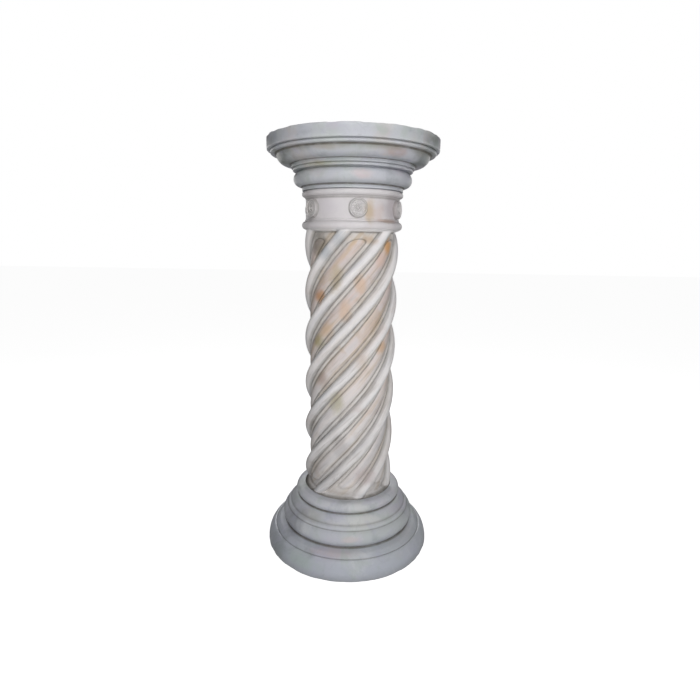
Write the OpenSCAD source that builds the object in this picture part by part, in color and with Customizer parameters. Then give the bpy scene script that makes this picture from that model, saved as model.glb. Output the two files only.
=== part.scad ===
// Round marble pedestal column with a twisted shaft.
//
// Three stones stand on each other on one upright axis: a moulded base, a twisted shaft carved in one
// with its neck band and rosettes, and a moulded capital with a round top. Millimetres, +Z up, origin
// at the middle of the underside. The front, where a rosette nearly faces the viewer, is -Y.

/* [Base] */
// Greatest radius of the roll on the floor
foot_r = 209; // [190:1:240]
// Height of the roll on the floor
foot_h = 51; // [40:0.5:60]
// Height at which the floor roll is widest
belly_z = 10; // [6:0.5:20]
// Height of the sloping ledge above the floor roll
ledge_h = 8; // [5:0.5:12]
// Greatest radius of the middle roll
waist_r = 169; // [160:1:175]
// Height of the middle roll
waist_h = 47; // [40:1:52]
// Height of the sloping band above the middle roll
slope_h = 25; // [16:1:34]
// Greatest radius of the ring that the shaft stands on
ring_r = 134.5; // [126:0.5:145]
// Height of the ring that the shaft stands on
ring_h = 29; // [22:1:36]

/* [Twisted shaft] */
// Radius over the ribs
shaft_r = 112; // [102:1:118]
// Height of the twisted part
shaft_h = 642; // [500:1:800]
// Number of ribs, and of flutes between them
strands = 6; // [5:1:8]
// Height in which a rib makes one full turn
pitch = 681; // [550:1:800]
// Turn of the ribs about the axis, in degrees
shaft_turn = 0; // [-30:1:30]
// Share of the space between two flutes' middles that a rib takes
rib_share = 0.335; // [0.28:0.005:0.4]
// Share that the rounded filling of a flute takes
cable_share = 0.40; // [0.34:0.005:0.44]
// Depth of the grooves below the ribs
groove_depth = 19.5; // [14:0.5:22]
// Depth of the crest of the rounded filling below the ribs
cable_depth = 12.5; // [9:0.5:14]
// Depth of the thin fillet below the ribs
fillet_depth = 14; // [9:0.5:16]
// Plain height left between the flutes and the ends of the shaft
plain_end = 8; // [6:1:20]

/* [Neck] */
// Height of the lower astragal
low_astragal_h = 19.5; // [14:0.5:24]
// Height of the neck band
neck_h = 53; // [45:1:65]
// Radius of the neck band
neck_r = 110; // [104:1:115]
// Height of the upper astragal
high_astragal_h = 14; // [10:0.5:18]
// Greatest radius of both astragals
astragal_r = 119; // [116:0.5:124]

/* [Rosettes] */
// Number of rosettes round the neck
rosettes = 6; // [4:1:8]
// Radius of a rosette
rosette_r = 22; // [16:0.5:22]
// How far a rosette stands out of the neck
rosette_proud = 7; // [4:0.5:9]
// Turn of the first rosette from the front, in degrees
rosette_turn = 7.5; // [-30:0.5:30]

/* [Capital] */
// Radius of the fillet under the lowest roll
seat_r = 118; // [114:1:122]
// Height of that fillet
seat_h = 9.5; // [6:0.5:12]
// Greatest radius of the lowest roll
roll_r = 138; // [130:1:146]
// Height of the lowest roll
roll_h = 33; // [28:1:40]
// Radius of the thin fillet above it
thin_r = 139.5; // [136:0.5:142]
// Height of the thin fillet above it
thin_h = 7.5; // [5:0.5:10]
// Radius of the fillet under the quarter round
list_r = 144; // [140:1:150]
// Height of the fillet under the quarter round
list_h = 7; // [5:0.5:10]
// Radius of the quarter round at its top
ovolo_r = 177; // [168:1:182]
// Height of the quarter round
ovolo_h = 22; // [16:0.5:26]
// Greatest radius of the bead under the slab
bead_r = 191; // [186:0.5:194]
// Height of the bead under the slab
bead_h = 7.5; // [6:0.5:11]
// Radius of the top slab
slab_r = 198; // [195:1:220]
// Thickness of the top slab
slab_h = 27.5; // [20:0.5:36]

/* [Hidden] */

$fn = 96;
front = -90; // direction of the front, in degrees round +Z

// heights of the joints and of the mouldings' edges
waist_z = foot_h + ledge_h;
slope_z = waist_z + waist_h;
ring_z = slope_z + slope_h;
shaft_z = ring_z + ring_h;
low_astragal_z = shaft_z + shaft_h;
neck_z = low_astragal_z + low_astragal_h;
high_astragal_z = neck_z + neck_h;
capital_z = high_astragal_z + high_astragal_h;

// height at which the middle of a rib crosses the front
rib_front_z = shaft_z + 430;

// across a strand, measured square to it on the unrolled shaft at its mean radius
mean_r = shaft_r - groove_depth / 3;
strand_angle = atan2(pitch, 2 * PI * mean_r);
strand_w = 2 * PI * mean_r / strands * sin(strand_angle);
rib_half = strand_w * rib_share / 2;
cable_half = strand_w * cable_share / 2;
flute_half = strand_w / 2 - rib_half;
groove_half = (flute_half - cable_half) / 4;
groove_r = shaft_r - groove_depth;
cable_r = shaft_r - cable_depth;
fillet_r = shaft_r - fillet_depth;
flute_low = shaft_z + plain_end;
flute_high = shaft_z + shaft_h - plain_end;

// how finely the twisted solid is divided
ring_count = 44;
shaft_sink = 3; // length of the twisted solid inside the lower astragal

// edge rounding of the top slab
slab_round = 3;

// ---- outlines ----

// Points on an arc of an ellipse about [r, z], from angle a0 to a1.
function arc(r, z, half_w, half_h, a0, a1, steps = 10) = [
    for (i = [0 : steps])
        let (a = a0 + (a1 - a0) * i / steps)
            [r + half_w * cos(a), z + half_h * sin(a)]
];

// A half-round roll that reaches radius r_out, between heights z and z + h, listed upwards.
function roll(r_out, z, h, steps = 12) = arc(r_out - h / 2, z + h / 2, h / 2, h / 2, -90, 90, steps);

base_outline = let (
    foot_arc = 74,
    waist_half = waist_h / 2,
    ring_half = ring_h / 2
) concat(
    [[0, 0]],
    // floor roll, fullest low down
    arc(foot_r - 7.5, belly_z, 7.5, belly_z, -90, 0, 6),
    arc(foot_r - 24, belly_z, 24, (foot_h - belly_z) / sin(foot_arc), 8, foot_arc, 9),
    // sloping ledge
    [[foot_r - 19, foot_h - 0.5], [foot_r - 20, foot_h + 1]],
    [[foot_r - 31, foot_h + ledge_h], [waist_r - 9.3, waist_z + 4.5]],
    // middle roll, a lip on it, and the sloping band
    arc(waist_r - waist_half, slope_z - waist_half, waist_half, waist_half, -52, 62, 12),
    arc(waist_r - 18.5, slope_z - 1.5, 6.5, 7.5, -8, 90, 6),
    [[waist_r - 19.5, slope_z + 6.8], [waist_r - 25, slope_z + 16.2], [ring_r + 1.5, ring_z - 0.5]],
    arc(ring_r - ring_half, ring_z + ring_half, ring_half, ring_half, -60, 90, 11),
    [[0, shaft_z]]
);

neck_outline = concat(
    [[0, low_astragal_z]],
    [[shaft_r, low_astragal_z]],
    roll(astragal_r, low_astragal_z, low_astragal_h),
    [[neck_r + 1.8, neck_z], [neck_r + 1.8, neck_z + 2.5], [neck_r, neck_z + 4]],
    [[neck_r, high_astragal_z - 4], [neck_r + 1.8, high_astragal_z - 2.5], [neck_r + 1.8, high_astragal_z]],
    roll(astragal_r, high_astragal_z, high_astragal_h),
    [[0, capital_z]]
);

capital_outline = let (
    roll_z = capital_z + seat_h,
    thin_z = roll_z + roll_h,
    list_z = thin_z + thin_h,
    ovolo_z = list_z + list_h,
    bead_z = ovolo_z + ovolo_h,
    slab_z = bead_z + bead_h,
    top_z = slab_z + slab_h,
    flat = 10
) concat(
    [[0, capital_z], [seat_r, capital_z], [seat_r, roll_z]],
    roll(roll_r, roll_z, roll_h, 14),
    // thin fillet between two narrow creases
    [[thin_r - 3, thin_z + 0.5], [thin_r, thin_z + 1.2], [thin_r, list_z - 1.5], [thin_r - 2, list_z - 0.6]],
    [[list_r, list_z], [list_r, ovolo_z - 0.5], [list_r - 1, ovolo_z]],
    arc(list_r + flat, bead_z, ovolo_r - list_r - flat, ovolo_h, -90, 0, 10),
    [[bead_r - bead_h / 2, bead_z]],
    roll(bead_r, bead_z, bead_h, 8),
    [[slab_r - slab_round, slab_z]],
    arc(slab_r - slab_round, slab_z + slab_round, slab_round, slab_round, -90, 0, 3),
    arc(slab_r - slab_round, top_z - slab_round, slab_round, slab_round, 0, 90, 3),
    [[0, top_z]]
);

// ---- the twisted shaft ----

// Height of a bump of half-width w at distance x from its middle: a half ellipse, 1 at the middle.
function bump(x, w) = abs(x) >= w ? 0 : sqrt(1 - pow(x / w, 2));

// The smaller of two distances, rounded where they are nearly equal.
function soft_min(a, b, k) = -k * ln(exp(-a / k) + exp(-b / k));

// Distance inside a flute's outline, whose ends are cut level with the floor.
function in_flute(u, z) =
    soft_min(flute_half - abs(u), min(z - flute_low, flute_high - z), 1.5);

// Distance inside the round-ended filling of a flute.
function in_cable(u, z) =
    let (
        level = min(z - flute_low, flute_high - z) - (flute_half - cable_half),
        past = max(0, cable_half - level) / sin(strand_angle)
    ) cable_half - sqrt(u * u + past * past);

// Radius of the carved surface, u across the strand from the flute's middle, at height z.
function carved_r(u, z) =
    let (flute = in_flute(u, z), cable = in_cable(u, z))
        flute <= 0 ? groove_r + groove_depth * bump(min(rib_half, -flute) - rib_half, rib_half)
        : cable >= 0 ? groove_r + (cable_r - groove_r) * bump(min(cable_half, cable) - cable_half, cable_half)
        : fillet_r - (fillet_r - groove_r)
            * (1 - min(1, min(flute, -cable) / (2 * groove_half)));

// Where the surface is sampled across one strand, as distances from the flute's middle.
half_stations = [
    cable_half * 0.55, cable_half * 0.88, cable_half + 0.1,
    (cable_half + flute_half) / 2,
    flute_half + 0.1, flute_half + rib_half * 0.12, flute_half + rib_half * 0.45
];
stations = concat(
    [for (i = [len(half_stations) - 1 : -1 : 0]) -half_stations[i]],
    [0], half_stations, [strand_w / 2]
);
across = len(stations);

// Ring heights, closer together where the flutes end.
end_steps = [0, plain_end - 2, plain_end + 0.5, plain_end + 4, plain_end + 9, plain_end + 15, plain_end + 24];
ring_heights = let (n = len(end_steps), from = end_steps[n - 1], middle = ring_count - 2 * n + 1) concat(
    [for (e = end_steps) shaft_z + e],
    [for (i = [1 : middle]) shaft_z + from + (shaft_h - 2 * from) * i / (middle + 1)],
    [for (i = [n - 1 : -1 : 0]) shaft_z + shaft_h - end_steps[i]],
    [shaft_z + shaft_h + shaft_sink]
);

module twisted() {
    rings = len(ring_heights);
    columns = strands * across;
    points = [
        for (z = ring_heights, s = [0 : strands - 1], u = stations)
            let (
                on_z = min(z, shaft_z + shaft_h),
                r = carved_r(u, on_z) - (z > on_z ? 1 : 0),
                a = front + shaft_turn + 360 / strands * (s + 0.5 + u / strand_w)
                    + 360 * (z - rib_front_z) / pitch
            ) [r * cos(a), r * sin(a), z]
    ];
    sides = [
        for (k = [0 : rings - 2], j = [0 : columns - 1])
            let (
                a = k * columns + j, b = k * columns + (j + 1) % columns,
                c = b + columns, d = a + columns
            ) each [[a, d, b], [b, d, c]]
    ];
    foot = [for (j = [0 : columns - 1]) j];
    head = [for (j = [columns - 1 : -1 : 0]) (rings - 1) * columns + j];
    polyhedron(points, concat([foot, head], sides));
}

// ---- pieces ----

module rosette() {
    rim = rosette_r * 0.17;
    field = rosette_proud * 0.55;
    sunk = 14;
    rotate([0, 90, 0])
        rotate_extrude()
            polygon(concat(
                [[0, -sunk], [rosette_r - 0.6, -sunk]],
                [[rosette_r, field - 1]],
                arc(rosette_r - rim, field, rim, rosette_proud - field, 0, 180, 8),
                [[rosette_r * 0.56, field - 1]],
                arc(rosette_r * 0.42, field - 1, rosette_r * 0.1, 2, 0, 180, 6),
                [[rosette_r * 0.27, field - 1]],
                arc(0, field - 1, rosette_r * 0.22, rosette_proud - field + 0.5, 0, 90, 6)
            ));
}

module base() {
    color("#a3a7ab") rotate_extrude() polygon(base_outline);
}

module shaft() {
    color("#cdc3b9") {
        twisted();
        rotate_extrude() polygon(neck_outline);
        for (i = [0 : rosettes - 1])
            rotate([0, 0, front + rosette_turn + 360 / rosettes * i])
                translate([neck_r, 0, (neck_z + high_astragal_z) / 2])
                    rosette();
    }
}

module capital() {
    color("#b4b8bb") rotate_extrude() polygon(capital_outline);
}

base();
shaft();
capital();
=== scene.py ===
"""Looks of a twisted marble pedestal column: turned mouldings, carved flutes, rosettes and worn marble."""

import math

import bpy
import numpy as np
from mathutils import Matrix, Vector, noise


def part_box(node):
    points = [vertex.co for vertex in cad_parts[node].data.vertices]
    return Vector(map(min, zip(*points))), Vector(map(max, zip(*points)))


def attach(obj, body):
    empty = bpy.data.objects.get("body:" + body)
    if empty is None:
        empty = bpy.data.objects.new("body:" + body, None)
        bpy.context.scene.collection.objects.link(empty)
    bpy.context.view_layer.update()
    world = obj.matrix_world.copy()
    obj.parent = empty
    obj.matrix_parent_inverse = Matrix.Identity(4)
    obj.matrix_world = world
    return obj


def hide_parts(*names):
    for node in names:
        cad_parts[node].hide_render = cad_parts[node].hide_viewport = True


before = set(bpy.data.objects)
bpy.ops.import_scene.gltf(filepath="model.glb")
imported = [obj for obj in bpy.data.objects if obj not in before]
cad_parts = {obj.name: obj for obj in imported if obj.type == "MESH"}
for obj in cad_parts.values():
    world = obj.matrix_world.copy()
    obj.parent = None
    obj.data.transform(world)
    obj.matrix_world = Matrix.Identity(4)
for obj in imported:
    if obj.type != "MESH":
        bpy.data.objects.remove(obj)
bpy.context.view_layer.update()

bl_info = {
    "name": "Twisted Marble Column",
    "version": (1, 0, 0),
    "blender": (4, 5, 0),
    "location": "View3D > Sidebar > Column",
    "description": "Builds a marble pedestal column with a twisted, fluted shaft",
    "category": "Add Mesh",
}

MM = 0.001

BASE_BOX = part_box("base")
SHAFT_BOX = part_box("shaft")
CAPITAL_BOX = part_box("capital")

FULL_TURN = 2 * math.pi
FRONT = math.radians(-90)
CREASE = 0.6 * MM  # how far a surface must lie behind its broad form to hold dirt and painted shade
EDGE_REACH = 9 * MM  # how far in from its rim a flat face may be chipped
WAVE_SIZE = 55 * MM  # width of the swells left by hand work
RELIEF = 0.35 * MM  # height of the fine relief of the stone's surface

BASE_SEGMENTS = 320
CAPITAL_SEGMENTS = 400
ROSETTE_SEGMENTS = 84


# ---- sizes and colours that a user would change ----


def length(name, description, millimetres):
    return bpy.props.FloatProperty(
        name=name, description=description, default=millimetres * MM, min=0.0, unit="LENGTH", precision=4
    )


def share(name, description, default):
    return bpy.props.FloatProperty(
        name=name, description=description, default=default, min=0.0, max=1.0, subtype="FACTOR"
    )


def angle(name, description, degrees):
    return bpy.props.FloatProperty(
        name=name, description=description, default=math.radians(degrees), unit="ROTATION"
    )


def colour(name, description, default):
    return bpy.props.FloatVectorProperty(
        name=name, description=description, default=default, min=0.0, max=1.0, size=3, subtype="COLOR"
    )


class BaseSizes(bpy.types.PropertyGroup):
    """Mouldings of the base, from the floor up."""

    foot_r: length("Floor roll radius", "Greatest radius of the roll on the floor", BASE_BOX[1].x / MM)
    foot_h: length("Floor roll height", "Height of the roll on the floor", 51)
    belly_z: length("Belly height", "Height at which the floor roll is widest", 10)
    ledge_h: length("Ledge height", "Height of the sloping ledge above the floor roll", 8)
    waist_r: length("Middle roll radius", "Greatest radius of the middle roll", 169)
    waist_h: length("Middle roll height", "Height of the middle roll", 47)
    slope_h: length("Band height", "Height of the sloping band above the middle roll", 25)
    ring_r: length("Ring radius", "Greatest radius of the ring under the shaft", 134.5)


class ShaftSizes(bpy.types.PropertyGroup):
    """Twisted shaft and neck band, carved in one stone."""

    shaft_r: length("Rib radius", "Radius over the ribs", 112)
    shaft_h: length("Twisted height", "Height of the twisted part", 642)
    strands: bpy.props.IntProperty(name="Ribs", description="Number of ribs and of flutes", default=6, min=3)
    pitch: length("Full turn", "Height in which a rib makes one full turn", 681)
    rib_front: length("Rib at the front", "Height at which the middle of a rib crosses the front", 590)
    rib_share: share("Rib share", "Share of a strand's width that the rib takes", 0.335)
    cable_share: share("Filling share", "Share of a strand's width that the rounded filling takes", 0.40)
    groove_depth: length("Groove depth", "Depth of the grooves below the ribs", 19.5)
    cable_depth: length("Filling depth", "Depth of the filling's crest below the ribs", 12.5)
    fillet_depth: length("Fillet depth", "Depth of the thin fillet below the ribs", 14)
    plain_end: length("Plain end", "Plain height between the flutes and the shaft's ends", 5)
    wander: length("Wander", "How far the hand-cut lines stray from true", 1.2)
    low_astragal_h: length("Lower astragal height", "Height of the lower astragal", 19.5)
    neck_h: length("Neck height", "Height of the neck band", 53)
    neck_r: length("Neck radius", "Radius of the neck band", 110)
    astragal_r: length("Astragal radius", "Greatest radius of both astragals", 119)
    rosettes: bpy.props.IntProperty(name="Rosettes", description="Number of rosettes", default=6, min=1)
    rosette_r: length("Rosette radius", "Radius of a rosette", 20.5)
    rosette_proud: length("Rosette relief", "How far a rosette stands out of the neck", 7)
    rosette_turn: angle("Rosette turn", "Turn of the first rosette from the front", 6.5)
    petals: bpy.props.IntProperty(name="Petals", description="Petals in a rosette", default=14, min=3)


class CapitalSizes(bpy.types.PropertyGroup):
    """Mouldings of the capital, from the neck up."""

    seat_r: length("Seat radius", "Radius of the fillet on the neck", 118)
    seat_h: length("Seat height", "Height of the fillet on the neck", 9.5)
    roll_r: length("Roll radius", "Greatest radius of the lowest roll", 138)
    roll_h: length("Roll height", "Height of the lowest roll", 33)
    thin_r: length("Thin fillet radius", "Radius of the thin fillet above the roll", 139.5)
    thin_h: length("Thin fillet height", "Height of the thin fillet above the roll", 7.5)
    list_r: length("Fillet radius", "Radius of the fillet under the quarter round", 144)
    list_h: length("Fillet height", "Height of the fillet under the quarter round", 7)
    ovolo_r: length("Quarter round radius", "Radius of the quarter round at its top", 177)
    ovolo_h: length("Quarter round height", "Height of the quarter round", 22)
    bead_r: length("Bead radius", "Greatest radius of the bead under the slab", 191)
    bead_h: length("Bead height", "Height of the bead under the slab", 7.5)
    slab_round: length("Slab edge", "Rounding of the slab's worn edges", 2)


class Finish(bpy.types.PropertyGroup):
    """Colours of the stones."""

    grey: colour("Grey marble", "Body colour of the base and capital", (0.49, 0.50, 0.545))
    grey_green: colour("Green cast", "Greenish clouds in the grey marble", (0.47, 0.50, 0.49))
    grey_blue: colour("Blue cast", "Bluish grey of the base", (0.42, 0.445, 0.505))
    grey_warm: colour("Warm cast", "Brown-pink clouds in the grey marble", (0.50, 0.44, 0.41))
    cream: colour("Pale marble", "Colour of the ribs and the neck", (0.77, 0.75, 0.75))
    pink: colour("Pink marble", "Colour of the flutes' fillings", (0.60, 0.47, 0.42))
    tan: colour("Tan stain", "Stains in the flutes and beside a rosette", (0.50, 0.36, 0.22))
    # Also the colour of the painted shade in the creases, grooves and round the rosettes.
    grime_and_crease_shade: colour("Grime", "Dirt held in the hollows", (0.095, 0.083, 0.062))


# Stains, painted shade and painted highlights as (place, reach along each axis, colour, strength)
GREY_STAINS_AND_PAINTED_LIGHT = (
    ((0.085, -0.150, 0.957), (0.040, 0.040, 0.012), (0.40, 0.27, 0.23), 0.60),  # quarter round, right
    ((-0.052, -0.160, 0.962), (0.040, 0.030, 0.008), (0.36, 0.30, 0.24), 0.55),  # quarter round, left
    ((-0.070, -0.120, 0.935), (0.065, 0.050, 0.007), (0.36, 0.35, 0.22), 0.70),  # thin fillet, left
    ((0.172, -0.098, 0.986), (0.044, 0.060, 0.034), (0.22, 0.25, 0.23), 0.75),  # painted shade at the right end of the slab, with a green cast
    ((0.020, -0.138, 0.915), (0.030, 0.030, 0.012), (0.58, 0.46, 0.46), 0.60),  # roll, at the front
    ((-0.040, -0.180, 0.057), (0.080, 0.050, 0.009), (0.48, 0.40, 0.41), 0.55),  # ledge, left of the front
    ((-0.090, -0.115, 0.118), (0.055, 0.045, 0.016), (0.36, 0.36, 0.31), 0.45),  # sloping band, left
    ((0.030, -0.135, 0.118), (0.090, 0.050, 0.014), (0.60, 0.60, 0.59), 0.65),  # painted light on the sloping band, front and right
    ((0.010, -0.125, 0.150), (0.080, 0.050, 0.016), (0.58, 0.58, 0.59), 0.60),  # painted light on the ring, at the front
    ((0.010, -0.169, 0.088), (0.030, 0.020, 0.010), (0.60, 0.48, 0.48), 0.45),  # middle roll, at the front: pink tint with a painted highlight
    ((-0.140, -0.095, 0.090), (0.050, 0.050, 0.045), (0.20, 0.21, 0.23), 0.60),  # painted shade on the middle roll, left
    ((-0.110, -0.175, 0.034), (0.060, 0.060, 0.020), (0.36, 0.43, 0.40), 0.60),  # floor roll, left
    ((-0.175, -0.110, 0.030), (0.050, 0.060, 0.035), (0.24, 0.27, 0.27), 0.60),  # painted shade on the floor roll, far left
    ((-0.160, -0.065, 0.952), (0.045, 0.070, 0.026), (0.12, 0.135, 0.11), 0.80),  # painted shade on the quarter round, far left
    ((0.160, -0.065, 0.952), (0.045, 0.070, 0.026), (0.12, 0.14, 0.125), 0.80),  # painted shade on the quarter round, far right
)
CREAM_STAINS_AND_PAINTED_SHADE = (
    ((0.037, -0.104, 0.842), (0.016, 0.020, 0.030), (0.50, 0.38, 0.24), 0.75),  # neck, beside a rosette
    ((0.078, -0.076, 0.822), (0.040, 0.040, 0.006), (0.38, 0.25, 0.18), 0.65),  # foot of the neck, right
    ((0.088, -0.066, 0.850), (0.036, 0.040, 0.034), (0.46, 0.41, 0.43), 0.65),  # neck, right
    ((0.058, -0.094, 0.838), (0.020, 0.020, 0.026), (0.58, 0.46, 0.42), 0.50),  # neck, between the rosettes
    ((-0.050, -0.098, 0.850), (0.040, 0.030, 0.030), (0.64, 0.60, 0.64), 0.50),  # neck, left of the front
    ((-0.090, -0.062, 0.845), (0.030, 0.030, 0.028), (0.40, 0.38, 0.36), 0.50),  # neck, left
    ((0.084, -0.055, 0.765), (0.020, 0.024, 0.026), (0.62, 0.33, 0.12), 0.85),  # flute, upper right
    ((0.070, -0.070, 0.735), (0.022, 0.022, 0.024), (0.68, 0.50, 0.43), 0.70),  # the same flute, lower down
    ((-0.076, -0.066, 0.765), (0.034, 0.034, 0.036), (0.20, 0.18, 0.15), 0.75),  # painted shadow in the flute, upper left, under the astragal
    ((-0.059, -0.095, 0.751), (0.022, 0.024, 0.030), (0.38, 0.41, 0.44), 0.65),  # the same rib, lower down
    ((-0.028, -0.108, 0.778), (0.024, 0.022, 0.030), (0.42, 0.45, 0.48), 0.60),  # rib under astragal, left
    ((-0.035, -0.097, 0.695), (0.024, 0.020, 0.036), (0.47, 0.38, 0.24), 0.75),  # flute, left of the front
    ((0.022, -0.098, 0.685), (0.018, 0.020, 0.030), (0.60, 0.41, 0.27), 0.60),  # front flute, upper part
    ((-0.014, -0.099, 0.620), (0.020, 0.020, 0.032), (0.60, 0.42, 0.29), 0.60),  # front flute, middle
    ((-0.056, -0.083, 0.570), (0.022, 0.022, 0.030), (0.58, 0.42, 0.28), 0.55),  # front flute, lower part
    ((-0.032, -0.098, 0.402), (0.024, 0.022, 0.034), (0.45, 0.42, 0.28), 0.65),  # flute below the middle
    ((0.030, -0.096, 0.500), (0.024, 0.022, 0.036), (0.58, 0.44, 0.34), 0.50),  # flute at mid height, right
    ((-0.020, -0.100, 0.290), (0.030, 0.024, 0.040), (0.36, 0.34, 0.34), 0.45),  # flute near the foot
    ((0.040, -0.093, 0.215), (0.034, 0.030, 0.030), (0.48, 0.38, 0.38), 0.45),  # foot of the shaft, right
    ((-0.074, -0.071, 0.648), (0.022, 0.024, 0.022), (0.46, 0.22, 0.08), 0.80),  # left edge
    ((-0.077, -0.069, 0.545), (0.022, 0.024, 0.024), (0.34, 0.30, 0.14), 0.75),  # left edge, lower down
    ((0.078, -0.068, 0.535), (0.024, 0.024, 0.024), (0.58, 0.36, 0.18), 0.70),  # right edge
    ((0.040, -0.094, 0.780), (0.022, 0.022, 0.012), (0.54, 0.38, 0.24), 0.65),  # top of a flute
    ((-0.070, -0.075, 0.455), (0.024, 0.024, 0.024), (0.40, 0.30, 0.26), 0.60),  # left edge, below the middle
)


# ---- outlines: lists of (radius, height) ----


def arc(r, z, half_w, half_h, start, end, steps=18):
    """Points on an arc of an ellipse about (r, z), from one angle to another in degrees."""
    turn = np.radians(np.linspace(start, end, steps + 1))
    return [(r + half_w * math.cos(a), z + half_h * math.sin(a)) for a in turn]


def roll(r_out, z, h):
    """A half-round roll that reaches r_out, between heights z and z + h."""
    return arc(r_out - h / 2, z + h / 2, h / 2, h / 2, -90, 90, 28)


def base_outline(s):
    waist_z = s.foot_h + s.ledge_h
    slope_z = waist_z + s.waist_h
    ring_z = slope_z + s.slope_h
    top = BASE_BOX[1].z
    waist_half = s.waist_h / 2
    ring_half = (top - ring_z) / 2
    lip = 7.5 * MM
    crown = 24 * MM
    crown_arc = 74
    shoulder = (s.foot_h - s.belly_z) / math.sin(math.radians(crown_arc))
    return (
        [(0, 0)]
        + arc(s.foot_r - lip, s.belly_z, lip, s.belly_z, -90, 0)
        + arc(s.foot_r - crown, s.belly_z, crown, shoulder, 4, crown_arc)
        + [(s.foot_r - 20 * MM, s.foot_h - 1.5 * MM), (s.foot_r - 21 * MM, s.foot_h + MM)]
        + [(s.foot_r - 31 * MM, s.foot_h + s.ledge_h), (s.waist_r - 9.3 * MM, waist_z + 4.5 * MM)]
        + arc(s.waist_r - waist_half, slope_z - waist_half, waist_half, waist_half, -52, 62)
        + arc(s.waist_r - 18.5 * MM, slope_z - 1.5 * MM, 6.5 * MM, 7.5 * MM, -8, 90)
        + [(s.waist_r - 19.5 * MM, slope_z + 6.8 * MM), (s.waist_r - 25 * MM, slope_z + 16.2 * MM)]
        + [(s.ring_r + 1.5 * MM, ring_z - 0.5 * MM)]
        + arc(s.ring_r - ring_half, ring_z + ring_half, ring_half, ring_half, -60, 90)
        + [(0, top)]
    )


def neck_outline(s):
    """From the top of the twisted part to the bed of the capital."""
    low = SHAFT_BOX[0].z + s.shaft_h
    neck_z = low + s.low_astragal_h
    high = neck_z + s.neck_h
    top = SHAFT_BOX[1].z
    collar_r = s.neck_r + 1.8 * MM
    return (
        [(s.shaft_r, low)]
        + roll(s.astragal_r, low, s.low_astragal_h)
        + [(collar_r, neck_z), (collar_r, neck_z + 2.5 * MM), (s.neck_r, neck_z + 4 * MM)]
        + [(s.neck_r, high - 4 * MM), (collar_r, high - 2.5 * MM), (collar_r, high)]
        + roll(s.astragal_r, high, top - high)
        + [(0, top)]
    )


def capital_outline(s):
    low = CAPITAL_BOX[0].z
    top = CAPITAL_BOX[1].z
    slab_r = CAPITAL_BOX[1].x
    roll_z = low + s.seat_h
    thin_z = roll_z + s.roll_h
    list_z = thin_z + s.thin_h
    ovolo_z = list_z + s.list_h
    bead_z = ovolo_z + s.ovolo_h
    slab_z = bead_z + s.bead_h
    round_r = slab_r - s.slab_round
    flat = 10 * MM
    return (
        [(0, low), (s.seat_r, low), (s.seat_r, roll_z)]
        + roll(s.roll_r, roll_z, s.roll_h)
        + [(s.thin_r - 3 * MM, thin_z + 0.5 * MM), (s.thin_r, thin_z + 1.2 * MM)]
        + [(s.thin_r, list_z - 1.5 * MM), (s.thin_r - 2 * MM, list_z - 0.6 * MM)]
        + [(s.list_r, list_z), (s.list_r, ovolo_z - 0.5 * MM), (s.list_r - MM, ovolo_z)]
        + arc(s.list_r + flat, bead_z, s.ovolo_r - s.list_r - flat, s.ovolo_h, -90, 0)
        + [(s.bead_r - s.bead_h / 2, bead_z)]
        + roll(s.bead_r, bead_z, s.bead_h)
        + [(round_r, slab_z)]
        + arc(round_r, slab_z + s.slab_round, s.slab_round, s.slab_round, -90, 0, 6)
        + arc(round_r, top - s.slab_round, s.slab_round, s.slab_round, 0, 90, 6)
        + [(0, top)]
    )


def soften(line, reach):
    """The line smoothed over a reach given in samples, with its ends kept."""
    width = int(3 * reach) + 1
    weight = np.exp(-0.5 * (np.arange(-width, width + 1) / reach) ** 2)
    weight /= weight.sum()
    before = 2 * line[0] - line[width:0:-1]
    after = 2 * line[-1] - line[-2 : -width - 2 : -1]
    long_line = np.vstack([before, line, after])
    return np.column_stack([np.convolve(long_line[:, k], weight, "valid") for k in (0, 1)])


def worn(outline, step=0.6 * MM, edge=0.9 * MM, reach=6 * MM, longest=9 * MM, bend=9.0):
    """Outline with its edges worn round, as rows of (radius, height, hollow).

    hollow is how far the surface lies behind its own broad form: positive in a crease, negative on an edge.
    """
    points = np.array(outline, float)
    points = points[np.r_[True, np.linalg.norm(np.diff(points, axis=0), axis=1) > 1e-7]]
    run = np.r_[0, np.cumsum(np.linalg.norm(np.diff(points, axis=0), axis=1))]
    at = np.linspace(0, run[-1], int(run[-1] / step) + 1)
    line = np.column_stack([np.interp(at, run, points[:, k]) for k in (0, 1)])
    line = soften(line, edge / step)
    along = np.gradient(line, axis=0)
    along /= np.linalg.norm(along, axis=1)[:, None] + 1e-12
    outward = np.column_stack([along[:, 1], -along[:, 0]])
    hollow = ((soften(line, reach / step) - line) * outward).sum(1)
    keep, last = [0], 0
    heading = np.unwrap(np.arctan2(along[:, 1], along[:, 0]))
    for k in range(1, len(line) - 1):
        far = (k - last) * step
        turned_by = abs(heading[k] - heading[last])
        flat = abs(along[k, 1]) < 0.02 and line[k, 0] < 0.8 * line[:, 0].max()
        if turned_by > math.radians(bend) or far > (longest * 4 if flat else longest):
            keep.append(k)
            last = k
    keep.append(len(line) - 1)
    rows = np.column_stack([line, hollow])[keep]
    rows[0, 0] = max(0.0, rows[0, 0])
    return rows


# ---- turning a blank ----


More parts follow.
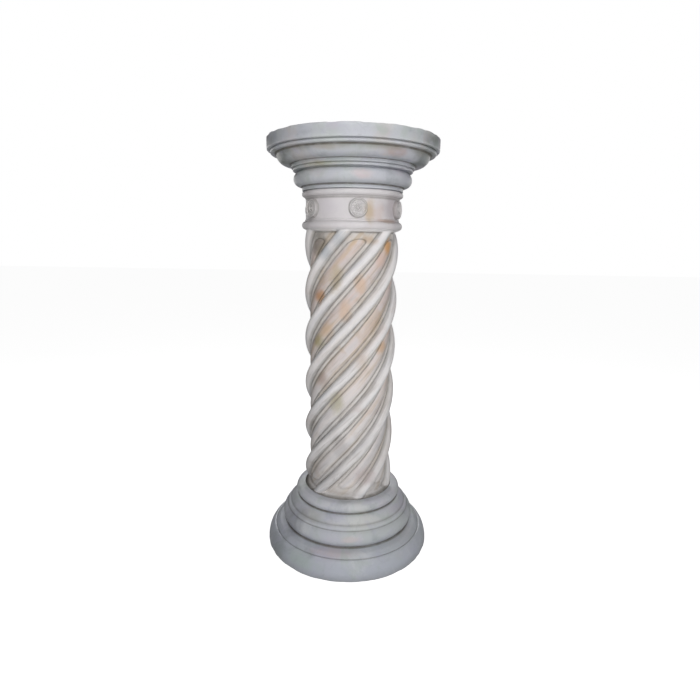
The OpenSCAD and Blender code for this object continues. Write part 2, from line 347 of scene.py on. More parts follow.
def turned(name, rows, segments):
    """A closed mesh turned from rows of (radius, height, hollow), which keeps hollow as an attribute."""
    around = FRONT + FULL_TURN * np.arange(segments) / segments
    unit = np.column_stack([np.cos(around), np.sin(around)])
    middle = rows[1:-1] if rows[0, 0] < 1e-6 else rows[:-1]
    points = [np.column_stack([unit * r, np.full(segments, z)]) for r, z, _ in middle]
    count = len(middle)
    verts = np.vstack(points + [[[0, 0, rows[0, 1]]], [[0, 0, rows[-1, 1]]]])
    hollow = np.r_[np.repeat(middle[:, 2], segments), 0.0, 0.0]
    j = np.arange(segments)
    nxt = (j + 1) % segments
    faces = []
    for k in range(count - 1):
        a, b = k * segments + j, k * segments + nxt
        faces += np.column_stack([a, b, b + segments, a + segments]).tolist()
    low, high = count * segments, count * segments + 1
    top = (count - 1) * segments
    faces += np.column_stack([np.full(segments, low), nxt, j]).tolist()
    faces += np.column_stack([np.full(segments, high), top + j, top + nxt]).tolist()
    mesh = bpy.data.meshes.new(name)
    mesh.from_pydata(verts.tolist(), [], faces)
    mesh.attributes.new("hollow", "FLOAT", "POINT").data.foreach_set("value", hollow.astype(np.float32))
    mesh.polygons.foreach_set("use_smooth", np.ones(len(mesh.polygons), bool))
    mesh.update()
    return mesh


def new_object(name, mesh):
    piece = bpy.data.objects.new(name, mesh)
    bpy.context.scene.collection.objects.link(piece)
    return piece


def points_of(mesh):
    co = np.empty(len(mesh.vertices) * 3, np.float32)
    mesh.vertices.foreach_get("co", co)
    return co.reshape(-1, 3).astype(float)


def normals_of(mesh):
    out = np.empty(len(mesh.vertices) * 3, np.float32)
    mesh.vertex_normals.foreach_get("vector", out)
    return out.reshape(-1, 3).astype(float)


def values_of(mesh, name):
    out = np.empty(len(mesh.vertices), np.float32)
    mesh.attributes[name].data.foreach_get("value", out)
    return out.astype(float)


def noise_at(points, size, offset):
    """Smooth noise from about -1 to 1, with features of the given size."""
    shift = Vector(offset)
    return np.array([noise.noise(Vector(p) / size + shift) for p in points])


def weather(mesh, waviness, chip, chip_size, chipped):
    """Presses hand-worked unevenness into a finished mesh, and chips into its edges between two heights."""
    points, normals, hollow = points_of(mesh), normals_of(mesh), values_of(mesh, "hollow")
    wave = 0.5 + 0.5 * noise_at(points, WAVE_SIZE, (3, 1, 7))
    edge = np.clip(-hollow / (1.2 * MM) - 0.25, 0, 1)
    edge *= (points[:, 2] > chipped[0]) & (points[:, 2] < chipped[1])
    broken = np.clip(noise_at(points, chip_size, (11, 5, 2)) * 1.6 + 0.3, 0, 1)
    moved = points - normals * (waviness * wave + chip * edge * broken)[:, None]
    low, high = points[:, 2].min(), points[:, 2].max()
    inner = np.hypot(points[:, 0], points[:, 1]) < np.hypot(points[:, 0], points[:, 1]).max() - EDGE_REACH
    bed = (points[:, 2] < low + 0.05 * MM) | (inner & (points[:, 2] > high - 0.05 * MM))
    moved[bed, 2] = points[bed, 2]
    mesh.vertices.foreach_set("co", moved.astype(np.float32).ravel())
    mesh.update()


# ---- arithmetic in node trees ----


class Wire:
    """A number in a geometry or material tree that takes part in plain arithmetic."""

    def __init__(self, tree, socket):
        self.tree, self.socket = tree, socket

    def op(self, operation, *others):
        node = self.tree.nodes.new("ShaderNodeMath")
        node.operation = operation
        for slot, value in zip(node.inputs, (self, *others)):
            connect(self.tree, value, slot)
        return Wire(self.tree, node.outputs[0])

    def __add__(self, other):
        return self.op("ADD", other)

    def __sub__(self, other):
        return self.op("SUBTRACT", other)

    def __mul__(self, other):
        return self.op("MULTIPLY", other)

    def __truediv__(self, other):
        return self.op("DIVIDE", other)

    def __rsub__(self, other):
        return (self * -1.0) + other

    __radd__ = __add__

    def clamp(self, low=0.0, high=1.0):
        return self.op("MAXIMUM", low).op("MINIMUM", high)

    def band(self, start, end):
        """0 below start and 1 above end, smooth between; start may lie above end."""
        node = self.tree.nodes.new("ShaderNodeMapRange")
        node.interpolation_type = "SMOOTHSTEP"
        connect(self.tree, self, node.inputs["Value"])
        connect(self.tree, start, node.inputs["From Min"])
        connect(self.tree, end, node.inputs["From Max"])
        return Wire(self.tree, node.outputs["Result"])


def connect(tree, value, slot):
    if isinstance(value, Wire):
        tree.links.new(value.socket, slot)
    elif hasattr(value, "is_output"):
        tree.links.new(value, slot)
    else:
        slot.default_value = value


def half_round(distance, half):
    """Height of a half-round bar at a distance inside its edge: 0 at the edge, 1 at its middle."""
    off = 1.0 - (distance / half).clamp()
    return (1.0 - off * off).op("SQRT")


def noise_wire(tree, where, scale, detail=2.0, roughness=0.5, distortion=0.0):
    node = tree.nodes.new("ShaderNodeTexNoise")
    connect(tree, where, node.inputs["Vector"])
    node.inputs["Scale"].default_value = scale
    node.inputs["Detail"].default_value = detail
    node.inputs["Roughness"].default_value = roughness
    node.inputs["Distortion"].default_value = distortion
    return Wire(tree, node.outputs["Fac"])


def axes(tree, place):
    """The x, y and z of a place."""
    split = tree.nodes.new("ShaderNodeSeparateXYZ")
    connect(tree, place, split.inputs[0])
    return [Wire(tree, out) for out in split.outputs]


def vector(tree, *parts):
    node = tree.nodes.new("ShaderNodeCombineXYZ")
    for slot, value in zip(node.inputs, parts):
        connect(tree, value, slot)
    return node.outputs[0]


def about_axis(tree, turn, reach, z):
    """The place at an angle and a reach from the column's axis, at a height."""
    return vector(tree, turn.op("COSINE") * reach, turn.op("SINE") * reach, z)


def twist(z, size):
    """How far the ribs have turned at a height."""
    level = z.clamp(size["twist_from"], size["twist_to"])
    return (level - size["rib_front"]) / size["pitch"] * FULL_TURN


def stray_wire(tree, turn, z, wander):
    """How far the hand-cut lines stray from true at a place."""
    return (noise_wire(tree, about_axis(tree, turn, 0.1, z), 14.0) - 0.5) * 2.0 * wander


def strand_distances(tree, angle_wire, z, size, wander):
    """Distances inside the flute's outline and inside its filling.

    The point is given by its angle on the unturned blank and its height; size holds wires or numbers.
    """
    turns = angle_wire / FULL_TURN * size["strands"]
    across = (turns.op("FRACT") - 0.5) * size["strand_w"]
    side = (across + wander).op("ABSOLUTE")
    level = (z - size["low"]).op("MINIMUM", size["high"] - z)
    flute = (size["flute_half"] - side).op("SMOOTH_MIN", level, 2.5 * MM)
    inner_level = level - (size["flute_half"] - size["cable_half"])
    past = (size["cable_half"] - inner_level).op("MAXIMUM", 0.0) / size["slant"]
    filling = size["cable_half"] - (side * side + past * past).op("SQRT")
    return flute, filling


def strand_sizes(s):
    """Widths across one strand, measured square to it on the unrolled shaft."""
    mean_r = s.shaft_r - s.groove_depth / 3
    slant = math.sin(math.atan2(s.pitch, FULL_TURN * mean_r))
    strand_w = FULL_TURN * mean_r / s.strands * slant
    return {
        "strands": float(s.strands),
        "pitch": s.pitch,
        "slant": slant,
        "strand_w": strand_w,
        "rib_half": strand_w * s.rib_share / 2,
        "cable_half": strand_w * s.cable_share / 2,
        "flute_half": strand_w * (1 - s.rib_share) / 2,
        "low": SHAFT_BOX[0].z + s.plain_end,
        "high": SHAFT_BOX[0].z + s.shaft_h - s.plain_end,
        "twist_from": SHAFT_BOX[0].z,
        "twist_to": SHAFT_BOX[0].z + s.shaft_h,
        "rib_front": s.rib_front,
        "groove_depth": s.groove_depth,
        "cable_depth": s.cable_depth,
        "fillet_depth": s.fillet_depth,
        "wander": s.wander,
    }


# ---- geometry trees ----


def geometry_tree(name, inputs):
    """A new geometry tree with a Geometry input, named number inputs and a Geometry output."""
    tree = bpy.data.node_groups.new(name, "GeometryNodeTree")
    tree.interface.new_socket("Geometry", in_out="INPUT", socket_type="NodeSocketGeometry")
    for label, value in inputs.items():
        kind = "NodeSocketInt" if isinstance(value, int) else "NodeSocketFloat"
        tree.interface.new_socket(label, in_out="INPUT", socket_type=kind)
    tree.interface.new_socket("Geometry", in_out="OUTPUT", socket_type="NodeSocketGeometry")
    start = tree.nodes.new("NodeGroupInput")
    wires = {label: Wire(tree, start.outputs[label]) for label in inputs}
    return tree, start, wires


def finish_tree(tree, geometry, material):
    """Ends a geometry tree in Realize Instances and Set Material."""
    realize = tree.nodes.new("GeometryNodeRealizeInstances")
    paint = tree.nodes.new("GeometryNodeSetMaterial")
    paint.inputs["Material"].default_value = material
    end = tree.nodes.new("NodeGroupOutput")
    tree.links.new(geometry, realize.inputs[0])
    tree.links.new(realize.outputs[0], paint.inputs["Geometry"])
    tree.links.new(paint.outputs[0], end.inputs[0])


def run_tree(piece, tree, inputs):
    """Runs a geometry tree on an object and leaves its result as the object's plain mesh."""
    modifier = piece.modifiers.new("Build", "NODES")
    modifier.node_group = tree
    for item in tree.interface.items_tree:
        if item.in_out == "INPUT" and item.name in inputs:
            modifier[item.identifier] = inputs[item.name]
    keep_result(piece)


def keep_result(piece):
    """Replaces an object's mesh by what its modifiers make of it, and removes them."""
    graph = bpy.context.evaluated_depsgraph_get()
    result = piece.evaluated_get(graph)
    mesh = bpy.data.meshes.new_from_object(result, preserve_all_data_layers=True, depsgraph=graph)
    piece.modifiers.clear()
    old, piece.data = piece.data, mesh
    mesh.name = piece.name
    bpy.data.meshes.remove(old)


def flute_tree(sizes, material):
    """Twists a turned blank and carves its ribs, grooves, thin fillets and rounded fillings."""
    tree, start, size = geometry_tree("Carve flutes", sizes)
    place = tree.nodes.new("GeometryNodeInputPosition")
    x, y, z = axes(tree, place.outputs[0])
    radius = (x * x + y * y).op("SQRT")
    blank_angle = y.op("ARCTAN2", x) - FRONT
    new_angle = blank_angle + twist(z, size) + FRONT
    stray = stray_wire(tree, new_angle, z, size["wander"])
    flute, filling = strand_distances(tree, blank_angle, z, size, stray)
    groove = size["groove_depth"]
    rib = groove * (1.0 - half_round(flute * -1.0, size["rib_half"]))
    cable = groove - (groove - size["cable_depth"]) * half_round(filling, size["cable_half"])
    between = flute.op("MINIMUM", filling * -1.0) / ((size["flute_half"] - size["cable_half"]) / 2)
    fillet = groove - (groove - size["fillet_depth"]) * half_round(between, 1.0)
    inside = flute.op("GREATER_THAN", 0.0)
    filled = filling.op("GREATER_THAN", 0.0)
    depth = rib * (1.0 - inside) + inside * (cable * filled + fillet * (1.0 - filled))
    in_reach = z.op("GREATER_THAN", size["twist_from"]) * z.op("LESS_THAN", size["twist_to"])
    new_radius = radius - depth * in_reach
    carve = tree.nodes.new("GeometryNodeSetPosition")
    tree.links.new(start.outputs["Geometry"], carve.inputs["Geometry"])
    connect(tree, about_axis(tree, new_angle, new_radius, z), carve.inputs["Position"])
    finish_tree(tree, carve.outputs[0], material)
    return tree


def rosette_tree(inputs, material):
    """Presses petals into a turned rosette that faces +X, and sets copies of it round the neck."""
    tree, start, size = geometry_tree("Ring of rosettes", inputs)
    place = tree.nodes.new("GeometryNodeInputPosition")
    x, y, z = axes(tree, place.outputs[0])
    off_axis = (y * y + z * z).op("SQRT")
    around = z.op("ARCTAN2", y)
    lobe = ((around * size["Petals"]).op("COSINE") * 0.5 + 0.5).op("SQRT")
    reach = 1.0 - ((off_axis - size["Petal radius"]).op("ABSOLUTE") / size["Petal half length"]).clamp()
    swell = lobe * (reach * (2.0 - reach)).op("SQRT") * size["Petal height"] * x.op("GREATER_THAN", 0.0)
    press = tree.nodes.new("GeometryNodeSetPosition")
    tree.links.new(start.outputs["Geometry"], press.inputs["Geometry"])
    connect(tree, vector(tree, swell, 0.0, 0.0), press.inputs["Offset"])
    ring = tree.nodes.new("GeometryNodeMeshCircle")
    connect(tree, size["Count"], ring.inputs["Vertices"])
    connect(tree, size["Neck radius"], ring.inputs["Radius"])
    to_rotation = tree.nodes.new("FunctionNodeEulerToRotation")
    connect(tree, vector(tree, 0.0, 0.0, y.op("ARCTAN2", x)), to_rotation.inputs[0])
    copies = tree.nodes.new("GeometryNodeInstanceOnPoints")
    tree.links.new(ring.outputs[0], copies.inputs["Points"])
    tree.links.new(press.outputs[0], copies.inputs["Instance"])
    tree.links.new(to_rotation.outputs[0], copies.inputs["Rotation"])
    lifted = tree.nodes.new("GeometryNodeTransform")
    tree.links.new(copies.outputs[0], lifted.inputs["Geometry"])
    connect(tree, vector(tree, 0.0, 0.0, size["Height"]), lifted.inputs["Translation"])
    connect(tree, vector(tree, 0.0, 0.0, size["Turn"]), lifted.inputs["Rotation"])
    finish_tree(tree, lifted.outputs[0], material)
    return tree


# ---- materials ----


def mix(tree, amount, first, second, blend="MIX"):
    """Mixes two colours by a wire or number."""
    node = tree.nodes.new("ShaderNodeMix")
    node.data_type = "RGBA"
    node.blend_type = blend
    connect(tree, amount, node.inputs["Factor"])
    for value, slot in ((first, node.inputs[6]), (second, node.inputs[7])):
        connect(tree, (*value, 1.0) if isinstance(value, (tuple, list)) else value, slot)
    return node.outputs[2]


def stain(tree, place, at, reach):
    """1 at a place on the stone, fading to 0 at a reach along x, y and z, with a broken edge; it marks stains
    and patches of painted shade and highlight.
    """
    gap = tree.nodes.new("ShaderNodeVectorMath")
    gap.operation = "SUBTRACT"
    connect(tree, place, gap.inputs[0])
    gap.inputs[1].default_value = at
    scaled = tree.nodes.new("ShaderNodeVectorMath")
    scaled.operation = "DIVIDE"
    connect(tree, gap.outputs[0], scaled.inputs[0])
    scaled.inputs[1].default_value = reach
    far = tree.nodes.new("ShaderNodeVectorMath")
    far.operation = "LENGTH"
    connect(tree, scaled.outputs[0], far.inputs[0])
    ragged = Wire(tree, far.outputs["Value"]) + (noise_wire(tree, place, 38.0, 4.0, 0.6) - 0.5) * 1.1
    return ragged.band(1.15, 0.25)


def with_stains_and_painted_light(tree, place, body, stains_and_light_patches):
    """The body colour with each stain and each patch of painted shade and highlight laid over it."""
    for at, reach, tint, strength in stains_and_light_patches:
        body = mix(tree, stain(tree, place, at, reach) * strength, body, tint)
    return body


def marble_base(name):
    """A new material with its shader, object coordinates and hollow attribute."""
    material = bpy.data.materials.new(name)
    material.use_nodes = True
    tree = material.node_tree
    shader = tree.nodes["Principled BSDF"]
    coordinates = tree.nodes.new("ShaderNodeTexCoord")
    hollow = tree.nodes.new("ShaderNodeAttribute")
    hollow.attribute_name = "hollow"
    return material, tree, shader, coordinates.outputs["Object"], Wire(tree, hollow.outputs["Fac"])


def stone_surface(tree, shader, place, dirt_and_crease_shade, gloss):
    """Roughness and fine relief of a satin, worn stone."""
    cloud = noise_wire(tree, place, 22.0, 4.0)
    rough = (cloud - 0.5) * 0.28 + gloss + dirt_and_crease_shade * 0.3
    connect(tree, rough.clamp(0.2, 0.95), shader.inputs["Roughness"])
    grain = noise_wire(tree, place, 420.0, 3.0, 0.6)
    tooling = noise_wire(tree, place, 75.0, 3.0, 0.55)
    pits = noise_wire(tree, place, 160.0, 2.0).band(0.66, 0.74)
    height = grain * 0.35 + tooling * 1.0 - pits * 0.8
    bump = tree.nodes.new("ShaderNodeBump")
    bump.inputs["Strength"].default_value = 1.0
    bump.inputs["Distance"].default_value = RELIEF
    connect(tree, height, bump.inputs["Height"])
    connect(tree, bump.outputs[0], shader.inputs["Normal"])
    shader.inputs["Specular IOR Level"].default_value = 0.45


def veins(tree, place, scale, width, distortion=1.6):
    """Thin wandering lines: 1 on a vein, 0 away from it."""
    field = noise_wire(tree, place, scale, 5.0, 0.6, distortion)
    return ((field - 0.5).op("ABSOLUTE") / width).band(1.0, 0.0)


def grey_marble(finish):
    material, tree, shader, place, hollow = marble_base("Grey marble")
    clouds = noise_wire(tree, place, 7.0, 4.0, 0.6, 0.6)
    warm = noise_wire(tree, place, 10.0, 3.0, 0.55, 0.4)
    mottle = noise_wire(tree, place, 38.0, 5.0, 0.65)
    body = mix(tree, clouds.band(0.42, 0.66), tuple(finish.grey), tuple(finish.grey_green))
    body = mix(tree, warm.band(0.56, 0.74) * 0.55, body, tuple(finish.grey_warm))
    body = mix(tree, warm.band(0.46, 0.34) * 0.60, body, (0.50, 0.47, 0.53))
    z = axes(tree, place)[2]
    body = mix(tree, z.band(0.13, 0.02) * 0.8, body, tuple(finish.grey_blue))
    body = with_stains_and_painted_light(tree, place, body, GREY_STAINS_AND_PAINTED_LIGHT)
    # Upper quarter round under the bead and slab: grime together with painted shadow.
    under_slab = z.band(0.952, 0.962) * z.band(0.970, 0.966)
    soot_and_slab_shadow = under_slab * noise_wire(tree, place, 16.0, 3.0).band(0.35, 0.6)
    body = mix(tree, soot_and_slab_shadow * 0.5, body, (0.30, 0.29, 0.25))
    shade = noise_wire(tree, place, 15.0, 5.0, 0.62, 0.4)
    tint = noise_wire(tree, place, 19.0, 4.0, 0.6, 0.8)
    body = mix(tree, shade.band(0.48, 0.30) * 0.55, body, (0.26, 0.285, 0.31))
    body = mix(tree, shade.band(0.55, 0.72) * 0.50, body, (0.62, 0.63, 0.65))
    body = mix(tree, tint.band(0.54, 0.70) * 0.40, body, (0.37, 0.43, 0.39))
    body = mix(tree, tint.band(0.46, 0.32) * 0.40, body, (0.43, 0.43, 0.53))
    body = mix(tree, (mottle - 0.5) * 1.2 + 0.5, body, (0.5, 0.5, 0.5), "OVERLAY")
    vein = veins(tree, place, 5.0, 0.018) * 0.12
    body = mix(tree, vein, body, (0.27, 0.28, 0.30))
    streak = noise_wire(tree, place, 60.0, 4.0, 0.6)
    # Crease darkening: grime in the hollows together with painted shade.
    dirt_and_crease_shade = (((hollow - CREASE / 2) / (2 * CREASE)).clamp() * (streak * 0.9 + 0.45)).clamp()
    edge = (hollow / (-1.6 * MM)).clamp() * 0.16
    body = mix(tree, edge, body, (0.76, 0.77, 0.79))
    # Painted shade where the floor roll meets the floor.
    floor_contact_shade = z.band(30 * MM, 0.0)
    body = mix(tree, floor_contact_shade * 0.4, body, (0.22, 0.23, 0.24))
    body = mix(tree, dirt_and_crease_shade * 0.8, body, tuple(finish.grime_and_crease_shade))
    connect(tree, body, shader.inputs["Base Color"])
    stone_surface(tree, shader, place, dirt_and_crease_shade, 0.42)
    return material


def rosette_distance(place_angle, z, sizes):
    """Distance along the neck from the nearest rosette's edge, below 0 on the rosette."""
    share_of_turn = (place_angle - FRONT - sizes["rosette_turn"]) / FULL_TURN * sizes["rosettes"]
    off = (share_of_turn + 0.5).op("FRACT") - 0.5
    across = off * (FULL_TURN * sizes["neck_r"] / sizes["rosettes"])
    rise = z - sizes["rosette_z"]
    return (across * across + rise * rise).op("SQRT") - sizes["rosette_r"]


def cream_marble(finish, sizes, rosette_sizes):
    material, tree, shader, place, hollow = marble_base("Cream marble")
    x, y, z = axes(tree, place)
    turn = twist(z, sizes)
    place_angle = y.op("ARCTAN2", x)
    stray = stray_wire(tree, place_angle, z, sizes["wander"])
    flute, filling = strand_distances(tree, place_angle - FRONT - turn, z, sizes, stray)
    fluted = z.band(sizes["twist_from"] + 2 * MM, sizes["twist_from"] + 5 * MM) * z.band(
        sizes["twist_to"] - 2 * MM, sizes["twist_to"] - 5 * MM
    )
    in_flute = flute.band(-3 * MM, 4 * MM) * fluted
    in_filling = filling.band(-4 * MM, 7 * MM) * fluted
    # Painted shade: dark lines along the edges of the flutes and of their fillings.
    at_flute_edge = 1.0 - (flute.op("ABSOLUTE") / (3.3 * MM)).clamp()
    at_filling_edge = 1.0 - (filling.op("ABSOLUTE") / (2.7 * MM)).clamp()
    at_filling_edge = at_filling_edge * (z.band(0.18, 0.25) * 0.65 + 0.35)
    above_foot = z.band(sizes["twist_from"] + 8 * MM, sizes["twist_from"] + 30 * MM)
    at_flute_edge = at_flute_edge * (above_foot * 0.6 + 0.4)
    groove_shade_line = at_flute_edge.op("MAXIMUM", at_filling_edge) * fluted * (z.band(0.18, 0.27) * 0.2 + 0.8)
    along_ribs = about_axis(tree, place_angle - turn, 0.11, z * 0.16)
    warm_streak = noise_wire(tree, along_ribs, 48.0, 3.0, 0.55, 0.3)
    dull_streak = noise_wire(tree, along_ribs, 95.0, 3.0, 0.6, 0.2)
    warmth = z.band(0.30, 0.70) * 0.75 + 0.25
    clouds = noise_wire(tree, place, 9.0, 4.0, 0.6, 0.5)
    mottle = noise_wire(tree, place, 45.0, 5.0, 0.65)
    body = mix(tree, clouds.band(0.5, 0.75) * 0.35, tuple(finish.cream), tuple(finish.pink))
    body = mix(tree, in_filling * (0.40 + clouds * 0.6).clamp() * warmth, body, tuple(finish.pink))
    tan_amount = warm_streak.band(0.48, 0.66) * fluted * (in_flute * 0.55 + 0.15) * (warmth * 0.7 + 0.3)
    body = mix(tree, tan_amount, body, (0.56, 0.43, 0.29))
    body = mix(tree, warm_streak.band(0.50, 0.32) * fluted * 0.40, body, (0.55, 0.56, 0.60))
    body = mix(tree, dull_streak.band(0.50, 0.72) * fluted * 0.45, body, (0.36, 0.34, 0.32))
    blotch = noise_wire(tree, place, 13.0, 4.0, 0.6, 0.8).band(0.5, 0.68)
    body = mix(tree, in_flute * blotch * warmth * 0.45, body, tuple(finish.tan))
    body = mix(tree, in_flute * (1.0 - in_filling) * 0.25 * warmth, body, (0.60, 0.52, 0.42))
    neck_tone = z.band(sizes["twist_to"] - 4 * MM, sizes["twist_to"] + 6 * MM)
    body = mix(tree, neck_tone * (0.25 + mottle * 0.55), body, (0.56, 0.525, 0.545))
    body = with_stains_and_painted_light(tree, place, body, CREAM_STAINS_AND_PAINTED_SHADE)
    # Darker towards the foot of the shaft: splash dirt together with painted shade.
    splash_and_low_shade = z.band(0.50, 0.17) * (0.06 + clouds.band(0.35, 0.65) * 0.28)
    body = mix(tree, splash_and_low_shade, body, (0.26, 0.24, 0.23))
    body = mix(tree, (mottle - 0.5) * 0.8 + 0.5, body, (0.5, 0.5, 0.5), "OVERLAY")
    streak = noise_wire(tree, place, 60.0, 4.0, 0.6)
    creased = ((hollow - CREASE) / (2 * CREASE)).clamp() * (1.0 - fluted)
    from_rosette = rosette_distance(place_angle, z, rosette_sizes)
    # Painted shadow: a dark ring along each rosette's edge.
    creased = creased.op("MAXIMUM", from_rosette.op("ABSOLUTE").band(2.4 * MM, 0.2 * MM) * 0.55)
    body = mix(tree, from_rosette.band(0.0, -2 * MM) * (0.15 + streak * 0.5), body, (0.40, 0.39, 0.375))
    foot_joint = z.band(sizes["twist_from"] + 5 * MM, sizes["twist_from"] + 1 * MM)
    creased = creased.op("MAXIMUM", foot_joint * 0.9)
    # Grime in the creases and at the foot joint, with painted shade along the grooves, in the creases and
    # round the rosettes.
    dirt_and_crease_shade = ((creased + groove_shade_line * 0.85) * (streak * 0.9 + 0.45)).clamp()
    body = mix(tree, in_flute * (1.0 - in_filling) * 0.22, body, (0.30, 0.26, 0.22))
    body = mix(tree, dirt_and_crease_shade * 0.85, body, tuple(finish.grime_and_crease_shade))
    connect(tree, body, shader.inputs["Base Color"])
    stone_surface(tree, shader, place, dirt_and_crease_shade, 0.45)
    return material


# ---- finishing a piece ----


def settle(piece, node, material):
    """Gives a finished piece its material and ties it to its stone in the frame."""
    piece.data.materials.clear()
    piece.data.materials.append(material)
    piece.data.polygons.foreach_set("use_smooth", np.ones(len(piece.data.polygons), bool))
    piece.data.update()
    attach(piece, "root")
    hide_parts(node)


def stone(name, make, *sizes):
    """The material of that name, made when it is first asked for."""
    return bpy.data.materials.get(name) or make(*sizes)


class COLUMN_OT_base(bpy.types.Operator):
    """Turns the moulded base"""

    bl_idname = "column.base"
    bl_label = "Base"

    def execute(self, context):
        scene = context.scene
        mesh = turned("base_stone", worn(base_outline(scene.column_base)), BASE_SEGMENTS)
        weather(mesh, 0.8 * MM, 1.0 * MM, 20 * MM, (-1.0, scene.column_base.foot_h))
        piece = new_object("base_stone", mesh)
        settle(piece, "base", stone("Grey marble", grey_marble, scene.column_finish))
        return {"FINISHED"}


class COLUMN_OT_shaft(bpy.types.Operator):
    """Carves the twisted shaft with its neck band and rosettes"""

    bl_idname = "column.shaft"
    bl_label = "Twisted shaft"

    columns_per_strand = 48
    ring_step = 3.1 * MM

    def execute(self, context):
        s = context.scene.column_shaft
        sizes = strand_sizes(s)
        neck_middle = SHAFT_BOX[0].z + s.shaft_h + s.low_astragal_h + s.neck_h / 2
        rosette_sizes = {
            "rosettes": s.rosettes,
            "rosette_r": s.rosette_r,
            "rosette_turn": s.rosette_turn,
            "rosette_z": neck_middle,
            "neck_r": s.neck_r,
        }
        material = stone("Cream marble", cream_marble, context.scene.column_finish, sizes, rosette_sizes)
        low, top = sizes["twist_from"], sizes["twist_to"]
        levels = np.linspace(low, top, round((top - low) / self.ring_step))
        plain = np.column_stack([np.full(len(levels), s.shaft_r), levels, np.zeros(len(levels))])
        rows = np.vstack([[[0, low, 0]], plain, worn(neck_outline(s))[1:]])
        shaft = new_object("shaft_stone", turned("shaft_stone", rows, s.strands * self.columns_per_strand))
        run_tree(shaft, flute_tree(sizes, material), sizes)
        self.add_rosettes(s, shaft, material, neck_middle)
        weather(shaft.data, 1.0 * MM, 0.0, 9 * MM, (0.0, 0.0))
        settle(shaft, "shaft", material)
        return {"FINISHED"}

    def add_rosettes(self, s, shaft, material, neck_z):
        """Sets the rosettes into the neck and joins them to it as one closed surface."""
        rows = worn(
            rosette_outline(s), step=0.2 * MM, edge=0.25 * MM, reach=2.5 * MM, longest=1.2 * MM, bend=16
        )
        rows[:, 2] *= 1.1
        blank = turned("rosettes", rows, ROSETTE_SEGMENTS)
        blank.transform(Matrix.Rotation(math.radians(90), 4, "Y"))
        ring = new_object("rosettes", blank)
        inputs = {
            "Count": s.rosettes,
            "Neck radius": s.neck_r,
            "Height": neck_z,
            "Turn": FRONT + s.rosette_turn,
            "Petals": s.petals,
            "Petal radius": s.rosette_r * 0.61,
            "Petal half length": s.rosette_r * 0.16,
            "Petal height": 1.5 * MM,
        }
        run_tree(ring, rosette_tree(inputs, material), inputs)
        union = shaft.modifiers.new("Join", "BOOLEAN")
        union.operation = "UNION"
        union.solver = "MANIFOLD"
        union.object = ring
        keep_result(shaft)
        bpy.data.objects.remove(ring)


def rosette_outline(s):
    """A rosette seen edge on, from its buried back to its centre, with its axis at radius 0."""
    rim = s.rosette_r * 0.10
    proud = s.rosette_proud
    field = proud * 0.68
    back = -14 * MM
    return (
        [(0, back), (s.rosette_r - 0.6 * MM, back), (s.rosette_r, field)]
        + arc(s.rosette_r - rim, field, rim, proud - field, 0, 180)
        + [(s.rosette_r * 0.76, field - 0.9 * MM), (s.rosette_r * 0.44, field - 0.4 * MM)]
        + arc(s.rosette_r * 0.36, field, s.rosette_r * 0.07, (proud - field) * 0.7, 0, 180, 10)
        + [(s.rosette_r * 0.24, field - 0.6 * MM)]
        + arc(0, field - 0.8 * MM, s.rosette_r * 0.18, proud - field + 0.6 * MM, 0, 90, 10)
    )


class COLUMN_OT_capital(bpy.types.Operator):
    """Turns the moulded capital with its round top"""

    bl_idname = "column.capital"
    bl_label = "Capital"

    def execute(self, context):
        scene = context.scene
        top = CAPITAL_BOX[1].z
        rows = worn(capital_outline(scene.column_capital), longest=4 * MM)
        mesh = turned("capital_stone", rows, CAPITAL_SEGMENTS)
        weather(mesh, 0.5 * MM, 1.2 * MM, 22 * MM, (top - 9 * MM, top + MM))
        piece = new_object("capital_stone", mesh)
        settle(piece, "capital", stone("Grey marble", grey_marble, scene.column_finish))
        return {"FINISHED"}


# ---- stage ----


# Lights as (name, place, aim, size, power, whether polished stone mirrors it)
LIGHTS = (
    ("Front light", (0.06, -1.60, 0.72), (0, 0, 0.55), 0.30, 13.8, False),
    ("High front light", (0.15, -1.45, 1.65), (0, 0, 0.30), 0.80, 7.5, True),
    ("Right light", (1.60, -0.70, 0.90), (0, 0, 0.50), 1.00, 1.8, True),
    ("Overhead light", (0.0, 0.12, 2.20), (0, 0, 1.0), 0.40, 7, True),
    ("Back light", (0.0, 1.65, 1.05), (0, 0, 0.50), 0.60, 9, True),
    ("Left back light", (-1.00, 1.50, 0.90), (0, 0, 0.50), 0.80, 3, True),
    ("Right back light", (1.00, 1.50, 0.90), (0, 0, 0.50), 0.80, 3, True),
)
CAMERA_AT = (0.0, -1.225, 0.7775)
CAMERA_DIP = math.radians(12.3)
CAMERA_ROLL = math.radians(0.95)


def area_light(name, at, towards, size, power, mirrored):
    data = bpy.data.lights.new(name, "AREA")
    data.shape = "DISK"
    data.size = size
    data.energy = power
    lamp = bpy.data.objects.new(name, data)
    bpy.context.scene.collection.objects.link(lamp)
    lamp.location = at
    lamp.rotation_mode = "QUATERNION"
    lamp.rotation_quaternion = (Vector(towards) - Vector(at)).to_track_quat("-Z", "Y")
    lamp.visible_camera = False
    lamp.visible_glossy = mirrored


def studio_air():
    """White surroundings that light the stone softly."""
    world = bpy.data.worlds.new("Studio")
    bpy.context.scene.world = world
    world.use_nodes = True
    tree = world.node_tree
    glow = tree.nodes["Background"]
    ray = tree.nodes.new("ShaderNodeLightPath")
    seen = Wire(tree, ray.outputs["Is Camera Ray"])
    glow.inputs["Color"].default_value = (1, 1, 1, 1)
    connect(tree, seen * 0.93 + 0.07, glow.inputs["Strength"])


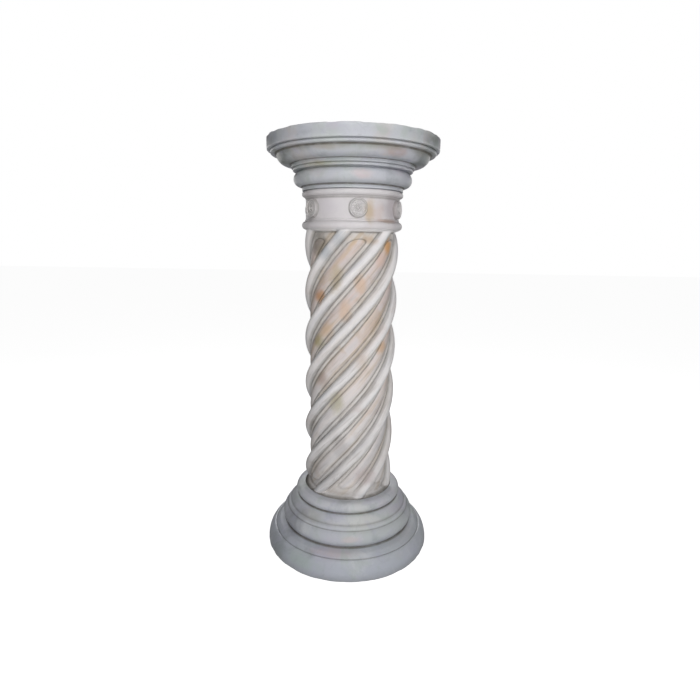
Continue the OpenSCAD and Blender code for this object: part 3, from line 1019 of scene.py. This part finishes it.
def pale_floor(top_z):
    mesh = bpy.data.meshes.new("floor")
    far = 12.0
    corners = [(-far, -far, top_z), (far, -far, top_z), (far, far, top_z), (-far, far, top_z)]
    mesh.from_pydata(corners, [], [(0, 1, 2, 3)])
    floor = new_object("floor", mesh)
    material = bpy.data.materials.new("Pale floor")
    material.use_nodes = True
    tree = material.node_tree
    shader = tree.nodes["Principled BSDF"]
    shader.inputs["Base Color"].default_value = (0.45, 0.45, 0.45, 1)
    shader.inputs["Roughness"].default_value = 0.9
    shader.inputs["Specular IOR Level"].default_value = 0.0
    shader.inputs["Emission Color"].default_value = (1, 1, 1, 1)
    ray = tree.nodes.new("ShaderNodeLightPath")
    seen = Wire(tree, ray.outputs["Is Camera Ray"])
    connect(tree, seen * 0.84 + 0.10, shader.inputs["Emission Strength"])
    mesh.materials.append(material)


def camera():
    data = bpy.data.cameras.new("Camera")
    data.sensor_width = 36.0
    data.lens = 25.7
    eye = bpy.data.objects.new("Camera", data)
    bpy.context.scene.collection.objects.link(eye)
    eye.matrix_world = (
        Matrix.Translation(CAMERA_AT)
        @ Matrix.Rotation(math.radians(90) - CAMERA_DIP, 4, "X")
        @ Matrix.Rotation(CAMERA_ROLL, 4, "Z")
    )
    bpy.context.scene.camera = eye


class COLUMN_OT_stage(bpy.types.Operator):
    """Sets the floor, the soft light and the camera"""

    bl_idname = "column.stage"
    bl_label = "Stage"

    def execute(self, context):
        pale_floor(0.0)
        studio_air()
        for light in LIGHTS:
            area_light(*light)
        camera()
        context.scene.view_settings.view_transform = "Standard"
        return {"FINISHED"}


class COLUMN_PT_panel(bpy.types.Panel):
    """Lists the column's pieces and the sizes behind them"""

    bl_idname = "COLUMN_PT_panel"
    bl_label = "Marble column"
    bl_space_type = "VIEW_3D"
    bl_region_type = "UI"
    bl_category = "Column"

    def draw(self, context):
        for operator, group in STEPS:
            self.layout.operator(operator.bl_idname)
            if group:
                settings = getattr(context.scene, group)
                for name in settings.__annotations__:
                    self.layout.prop(settings, name)
        for name in Finish.__annotations__:
            self.layout.prop(context.scene.column_finish, name)


GROUPS = {
    "column_base": BaseSizes,
    "column_shaft": ShaftSizes,
    "column_capital": CapitalSizes,
    "column_finish": Finish,
}
STEPS = (
    (COLUMN_OT_base, "column_base"),
    (COLUMN_OT_shaft, "column_shaft"),
    (COLUMN_OT_capital, "column_capital"),
    (COLUMN_OT_stage, None),
)


def register():
    for name, group in GROUPS.items():
        bpy.utils.register_class(group)
        setattr(bpy.types.Scene, name, bpy.props.PointerProperty(type=group))
    for operator, _ in STEPS:
        bpy.utils.register_class(operator)
    bpy.utils.register_class(COLUMN_PT_panel)


def unregister():
    bpy.utils.unregister_class(COLUMN_PT_panel)
    for operator, _ in reversed(STEPS):
        bpy.utils.unregister_class(operator)
    for name, group in reversed(GROUPS.items()):
        delattr(bpy.types.Scene, name)
        bpy.utils.unregister_class(group)


def main():
    register()
    bpy.ops.column.base()
    bpy.ops.column.shaft()
    bpy.ops.column.capital()
    bpy.ops.column.stage()


if __name__ == "__main__":
    main()
